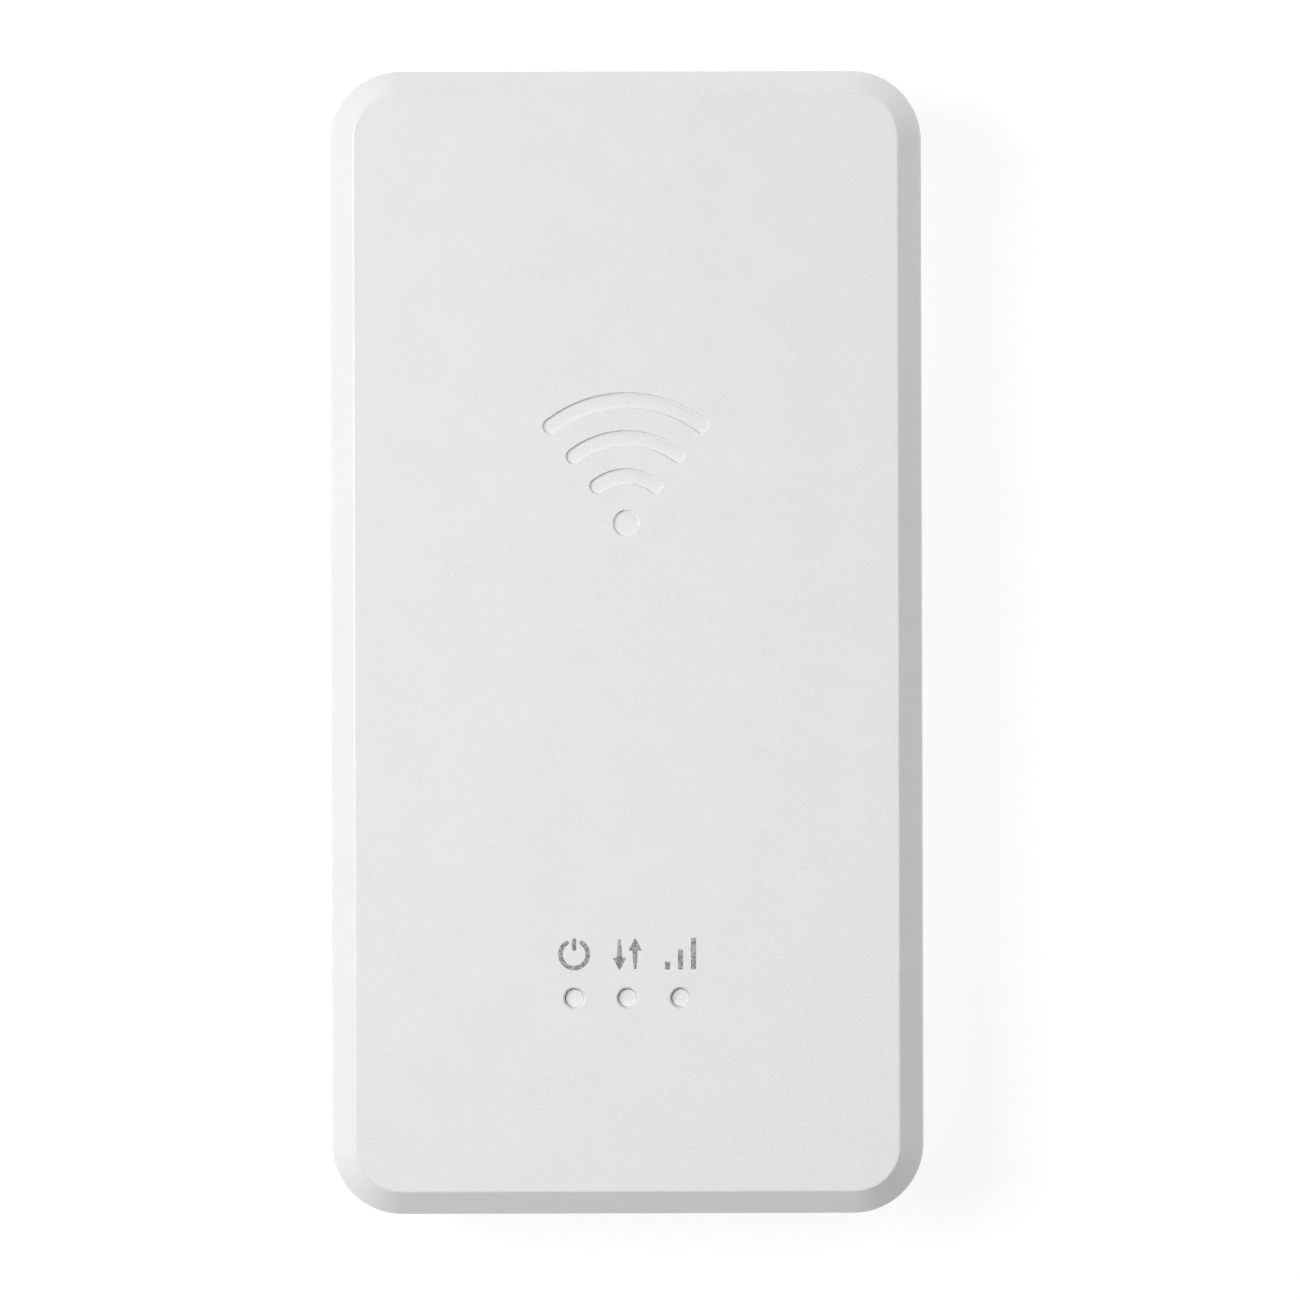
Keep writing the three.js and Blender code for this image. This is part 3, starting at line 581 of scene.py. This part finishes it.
def front_shell():
    side_top = TOP - FRONT_BEVEL
    outer = stack(
        lambda grow: product_outline(-grow),
        fillet(
            [
                (-0.6, RIM_Z),
                (0, RIM_Z),
                (0, side_top),
                (-FRONT_BEVEL, TOP),
                (-FRONT_BEVEL - 1.5, TOP),
            ],
            (RIM_R, BEVEL_OUTER_R, BEVEL_INNER_R),
        ),
    )
    cavity_bevel = 2.0
    cavity = stack(
        lambda grow: product_outline(WALL - grow),
        [
            (0, RIM_Z - 1),
            (0, FRONT_INNER_Z - cavity_bevel),
            (-cavity_bevel, FRONT_INNER_Z),
        ],
    )
    screws = [centre(f"housing_screw_{i + 1}") for i in range(6)]
    boss_foot = corners("pcb")[1].z + 0.1
    bosses = [post(s, BOSS_R, boss_foot, FRONT_INNER_Z + 0.5, 32) for s in screws]
    pilots = [post(s, PILOT_R, boss_foot - 1, FRONT_INNER_Z - 0.5, 24) for s in screws]
    flare = LED_RIM_R - LED_HOLE_R
    mouth = flare + 0.6
    led_bore = fillet(
        [(0, -FRONT_SKIN - 0.5), (0, -LED_FLARE), (flare, 0), (mouth, 0), (mouth, 1)],
        (0.02, 0.06, 0.02),
        steps=4,
        support=0.005,
    )
    led_holes = [
        stack(lambda grow: circle(LED_HOLE_R + grow, 64), led_bore,
              front_side(centre(name).x, centre(name).y))
        for name in LEDS
    ]
    emblem = [
        opening(outline, EMBLEM_DEPTH, 0.03, front_side(0, EMBLEM_Y), floor_r=0.04)
        for outline in emblem_outlines()
    ]
    shell = combine(outer, "DIFFERENCE", [cavity])
    shell = combine(shell, "UNION", bosses)
    shell = combine(shell, "DIFFERENCE", [*pilots, *led_holes, *emblem, *side_openings()])
    return finish_piece(
        shell, "front_shell_moulding", "housing", MATERIALS["white_shell"],
        ["front_shell"],
    )


# ---------------------------------------------------------------- printed icons


def ink_slab(outline, placement):
    return stack(lambda grow: outline, [(0, -0.004), (0, INK_HEIGHT)], placement)


def power_icon():
    """A ring open at the top, with an upright bar in the gap."""
    gap = math.radians(33)
    ring = arc_band(1.335, 0.225, math.pi / 2 + gap, math.pi * 2.5 - gap, 64)
    bar = moved(oblong(0.21, 0.62, 0.2), 0, 0.95)
    return [ring, bar]


def arrows_icon():
    """One straight arrow up and one down, each with a tapering tail."""
    head_half, head, tip, tail = 0.66, 1.15, 1.5, -1.45
    arrow = [
        (0.13, tail),
        (0.27, tip - head),
        (head_half, tip - head),
        (0.06, tip),
        (-0.06, tip),
        (-head_half, tip - head),
        (-0.27, tip - head),
        (-0.13, tail),
    ]
    up = moved(arrow, 0.76, 0)
    down = [(-x - 0.76, -y) for x, y in arrow]
    return [up, down]


def signal_icon():
    """Three bars of rising height."""
    foot, pitch = -1.5, 1.27
    heights = (0.78, 1.94, 3.08)
    return [
        moved(oblong(0.25, h / 2, 0.08, 4), (i - 1) * pitch, foot + h / 2)
        for i, h in enumerate(heights)
    ]


def icon(name, outlines, led):
    spot = centre(led)
    placement = front_side(spot.x, spot.y + ICON_RISE)
    slabs = [ink_slab(outline, placement) for outline in outlines]
    whole = combine(slabs[0], "UNION", slabs[1:])
    return finish_piece(whole, name, "housing", INK)


# ---------------------------------------------------------------- buttons, tray and light guide


def button(name):
    """A cap with a softened rim, on the flange and stem that its CAD node has."""
    low, high = corners(name)
    mid = centre(name)
    half_y = (high.y - low.y) / 2 - BUTTON_FLANGE.x
    half_z = (high.z - low.z) / 2 - BUTTON_FLANGE.y
    face = high.x - HALF_W
    back = -WALL - 0.3
    rim_r, rim_inset = 0.3, 1.0
    cap = stack(
        lambda grow: oblong(half_y + grow, half_z + grow, half_z + grow, 16),
        fillet(
            [(0, back), (0, face), (-rim_inset, face + 0.001)], (rim_r,), steps=8, support=0.03
        ),
        right_side(mid.y, mid.z),
    )
    flange_x = HALF_W - WALL - 0.5
    flange_half = 0.3
    flange = block(
        (flange_x - flange_half, low.y, low.z), (flange_x + flange_half, high.y, high.z)
    )
    stem_y, stem_z = 1.2, 0.5
    stem = block(
        (low.x, mid.y - stem_y, mid.z - stem_z), (flange_x, mid.y + stem_y, mid.z + stem_z)
    )
    whole = combine(cap, "UNION", [flange, stem])
    return finish_piece(
        whole, f"{name}_moulding", name, MATERIALS["white_key"], [name]
    )


def light_guide():
    low, high = corners("light_guide")
    mid = centre("light_guide")
    bar = stack(
        lambda grow: moved(oblong(*GUIDE_BAR), mid.x, mid.y),
        [(0, GUIDE_BAR_Z), (0, FRONT_INNER_Z - 0.15)],
    )
    foot = GUIDE_BAR_Z + 0.1
    rim = fillet([(0, foot), (0, high.z), (-LED_POST_R, high.z)], (LED_POST_RIM,))[:-1]
    dish = [
        (-LED_POST_R * (1 - share), high.z - LED_DISH * (1 - share**2))
        for share in (0.8, 0.65, 0.5, 0.35, 0.2, 0.05)
    ]
    posts = []
    for name in LEDS:
        spot = centre(name)
        posts.append(
            stack(
                lambda grow: circle(LED_POST_R + grow, 48),
                [*rim, *dish],
                Matrix.Translation(Vector((spot.x, spot.y, 0)) + LED_POST_SHIFT),
            )
        )
        posts.append(post(spot, GUIDE_FOOT_R, low.z, GUIDE_BAR_Z + 0.2, 32))
    whole = combine(bar, "UNION", posts)
    return finish_piece(
        whole, "light_guide_moulding", "housing", MATERIALS["diffuser"],
        ["light_guide"],
    )


# ---------------------------------------------------------------- USB socket


def usb_socket():
    low, high = corners("usb_shell")
    half_x, half_z = high.x, (high.z - low.z) / 2
    skin = 0.3
    placement = side((1, 0, 0), (0, 0, 1), (0, low.y, centre("usb_shell").z))
    depth = high.y - low.y
    tube = stack(
        lambda grow: oblong(half_x + grow, half_z + grow, 9, 16),
        fillet([(0, -depth), (0, 0), (-skin, 0)], (0.1,), support=0.01)[:-1],
        placement,
    )
    past_face = Matrix.Translation((0, 0, 0.02))  # keeps the flare's end off the face itself
    bore = opening(
        lambda grow: oblong(half_x - skin + grow, half_z - skin + grow, 9, 16),
        depth + 1, 0.12, placement @ past_face,
    )
    tube = combine(tube, "DIFFERENCE", [bore])
    return finish_piece(
        tube, "usb_socket_shell", "housing", MATERIALS["steel"], ["usb_shell"]
    )


def usb_tongue():
    low, high = corners("usb_insulator")
    mid = centre("usb_insulator")
    plug_depth = 2.2
    back = high.y - plug_depth
    placement = side((1, 0, 0), (0, 0, 1), (0, back, mid.z))
    half_x, half_z = high.x, (high.z - low.z) / 2
    plug = stack(
        lambda grow: oblong(half_x + grow, half_z + grow, 9, 12),
        [(0, -plug_depth), (0, 0)],
        placement,
    )
    tongue_x, tongue_z = 3.35, 0.35
    tongue = block(
        (-tongue_x, low.y, mid.z - tongue_z), (tongue_x, back + 0.5, mid.z + tongue_z), 0.25, 0.12
    )
    whole = combine(plug, "UNION", [tongue])
    finish_piece(
        whole, "usb_socket_tongue", "housing", MATERIALS["black_plastic"],
        ["usb_insulator"],
    )
    contacts = []
    pitch, count, half, stand = 0.5, 12, 0.13, 0.02
    for face in (-1, 1):
        for i in range(count):
            x = (i - (count - 1) / 2) * pitch
            z = mid.z + face * tongue_z
            contacts.append(
                block(
                    (x - half, low.y + 0.45, z - stand), (x + half, back - 0.3, z + stand),
                    0.04, 0.01,
                )
            )
    strips = combine(contacts[0], "UNION", contacts[1:])
    finish_piece(strips, "usb_contact_strips", "housing", MATERIALS["gold"])


# ---------------------------------------------------------------- rear cover

SNAP_SIDE_YS = (-30, 34)
SNAP_END_X = 14
ARROW = [Vector((-2.0, 2.4)), Vector((0, 0)), Vector((2.0, 2.4))]  # its tip is the middle point
ARROW_CENTRE = Vector((0, 1.45))
ARROW_TIP_Y = -44.6
ARROW_DEPTH = 0.2


def snaps():
    """Small wedges inside the cover's wall, which hold it on the housing."""
    half, z0, z1 = 3.0, 3.6, 4.4
    reach = WALL + 0.2
    for sign in (-1, 1):
        for y in SNAP_SIDE_YS:
            xs = sorted((sign * (HALF_W - WALL + 0.3), sign * (HALF_W - reach)))
            yield block((xs[0], y - half, z0), (xs[1], y + half, z1), 0.1, 0.1)
        for x in (-SNAP_END_X, SNAP_END_X):
            ys = sorted((sign * (HALF_L - WALL + 0.3), sign * (HALF_L - reach)))
            yield block((x - half, ys[0], z0), (x + half, ys[1], z1), 0.1, 0.1)


def arrow_outline(grow):
    """The release mark's triangle, with each corner moved out so that its edges move by grow."""
    corner_reach = 1.8
    return [
        tuple(p + (p - ARROW_CENTRE).normalized() * grow * corner_reach) for p in ARROW
    ]


def rear_cover():
    outer = stack(
        lambda grow: product_outline(-grow),
        fillet(
            [
                (-REAR_BEVEL - 1.5, 0),
                (-REAR_BEVEL, 0),
                (0, REAR_BEVEL),
                (0, COVER_TOP),
                (-0.6, COVER_TOP),
            ],
            (BEVEL_INNER_R, BEVEL_OUTER_R, RIM_R),
        ),
    )
    cavity = stack(
        lambda grow: product_outline(WALL - grow),
        fillet(
            [
                (-2.5, COVER_SKIN),
                (-1.5, COVER_SKIN),
                (0, COVER_SKIN + 1.5),
                (0, COVER_TOP + 1),
            ],
            (0.4, 0.4),
            steps=4,
        ),
    )
    notch_r, notch_depth, notch_floor = 9.0, 0.8, 4.0
    notch = stack(
        lambda grow: circle(notch_r + grow, 160),
        fillet(
            [(-3, notch_floor), (0, notch_floor), (0, COVER_TOP + 1)], (0.5,), support=0.02
        ),
        Matrix.Translation((0, -HALF_L - notch_r + notch_depth, 0)),
    )
    mark = opening(
        arrow_outline, ARROW_DEPTH, 0.05, side((1, 0, 0), (0, -1, 0), (0, ARROW_TIP_Y, 0))
    )
    cover = combine(outer, "DIFFERENCE", [cavity])
    cover = combine(cover, "UNION", list(snaps()))
    cover = combine(cover, "DIFFERENCE", [notch, mark])
    return finish_piece(
        cover, "rear_cover_moulding", "rear_cover", MATERIALS["white_shell"],
        ["rear_cover"],
    )


# ---------------------------------------------------------------- CAD nodes that stay


def soften(node, width, segments=2):
    """Rounds a CAD node's edges with a modifier."""
    bevel = frame["nodes"][node].modifiers.new("soft_edges", "BEVEL")
    bevel.width = width * MM
    bevel.segments = segments
    bevel.limit_method = "ANGLE"
    bevel.angle_limit = math.radians(40)


def dress_frame():
    """Gives every CAD node the material of its slot."""
    slots = {s["node"]: s["material_slot"] for s in frame["record"]["subparts"]}
    for name, obj in frame["nodes"].items():
        material = MATERIALS[slots[name]]
        for place in obj.material_slots:
            place.material = material
    soften("rear_housing", 0.15)
    soften("sim_tray", 0.08)
    soften("battery_cell", 0.3, 4)
    soften("battery_end_cap", 0.3, 4)


# ---------------------------------------------------------------- stage, light and camera

BOX_DISTANCE = 0.56  # of each softbox from the object, in metres
BOX_SIDE = 0.31
SKY_LEVEL = 0.05  # brightness of the surround at the horizon
SKY_RISE = 0.15  # how much brighter it is straight up
FLOOR_GLOW = 0.79
LENS = 120.0
SENSOR = 36.0
VIEW_WIDTH = 127.4  # how much the picture's width covers at the height of the side walls' top
CAMERA_SHIFT = Vector((2.29, -0.75))
CAMERA_ROLL = math.radians(-0.15)


def floor():
    mesh = bpy.data.meshes.new("floor")
    reach = 1.5
    mesh.from_pydata(
        [(-reach, -reach, 0), (reach, -reach, 0), (reach, reach, 0), (-reach, reach, 0)],
        [],
        [(0, 1, 2, 3)],
    )
    ground = bpy.data.objects.new("floor", mesh)
    drop = 0.00005  # keeps the floor and the object's rear face from coinciding
    ground.location.z = -drop
    bpy.context.scene.collection.objects.link(ground)
    nodes = Nodes("floor")
    tone = nodes.range(nodes.noise(40.0, 3.0), 0.3, 0.7, 0, 1)
    nodes.colour(nodes.mix(tone, grey(0.25), grey(0.27)))
    nodes.set(roughness=0.9, emission_strength=FLOOR_GLOW)
    nodes.shader.inputs["Emission Color"].default_value = (1, 1, 1, 1)
    mesh.materials.append(nodes.material)


def sky():
    """A dim soft surround, a little brighter overhead."""
    world = bpy.data.worlds.new("studio")
    bpy.context.scene.world = world
    world.use_nodes = True
    tree = world.node_tree
    ray = tree.nodes.new("ShaderNodeTexCoord").outputs["Generated"]
    dot = tree.nodes.new("ShaderNodeVectorMath")
    dot.operation = "DOT_PRODUCT"
    dot.inputs[1].default_value = (0, 0, SKY_RISE)
    tree.links.new(ray, dot.inputs[0])
    level = tree.nodes.new("ShaderNodeMath")
    level.operation = "ADD"
    level.inputs[1].default_value = SKY_LEVEL
    tree.links.new(dot.outputs["Value"], level.inputs[0])
    floor_level = tree.nodes.new("ShaderNodeMath")
    floor_level.operation = "MAXIMUM"
    floor_level.inputs[1].default_value = 0.0
    tree.links.new(level.outputs["Value"], floor_level.inputs[0])
    background = tree.nodes["Background"]
    background.inputs["Color"].default_value = (1, 1, 1, 1)
    tree.links.new(floor_level.outputs["Value"], background.inputs["Strength"])


def softbox(name, azimuth, elevation, radiance):
    """A square area light that points at the object, with its angles in degrees."""
    data = bpy.data.lights.new(name, "AREA")
    data.shape = "SQUARE"
    data.size = BOX_SIDE
    data.energy = radiance * BOX_SIDE**2 * math.pi
    lamp = bpy.data.objects.new(name, data)
    tilt = Matrix.Rotation(math.radians(-elevation), 3, "Y")
    turn = Matrix.Rotation(math.radians(azimuth), 3, "Z")
    lamp.location = turn @ tilt @ Vector((BOX_DISTANCE, 0, 0))
    lamp.rotation_mode = "QUATERNION"
    lamp.rotation_quaternion = (-lamp.location).to_track_quat("-Z", "Y")
    bpy.context.scene.collection.objects.link(lamp)


def camera():
    data = bpy.data.cameras.new("camera")
    data.lens = LENS
    data.sensor_width = SENSOR
    data.clip_start, data.clip_end = 0.01, 10
    view = bpy.data.objects.new("camera", data)
    rise = VIEW_WIDTH * LENS / SENSOR + TOP - FRONT_BEVEL
    view.location = Vector((*CAMERA_SHIFT, rise)) * MM
    view.rotation_euler = (0, 0, CAMERA_ROLL)
    bpy.context.scene.collection.objects.link(view)
    bpy.context.scene.camera = view


# ---------------------------------------------------------------- build

dress_frame()
front_shell()
icon("icon_power", power_icon(), "led_power")
icon("icon_pairing", arrows_icon(), "led_pairing")
icon("icon_signal", signal_icon(), "led_signal")
button("power_button")
button("pairing_button")
light_guide()
usb_socket()
usb_tongue()
rear_cover()

floor()
sky()
softbox("key_left", 170, 47, 8.27)
softbox("overhead", 310, 78, 1.88)
softbox("kicker_back_right", 50, 25, 2.95)
camera()
bpy.context.scene.view_settings.view_transform = "Standard"
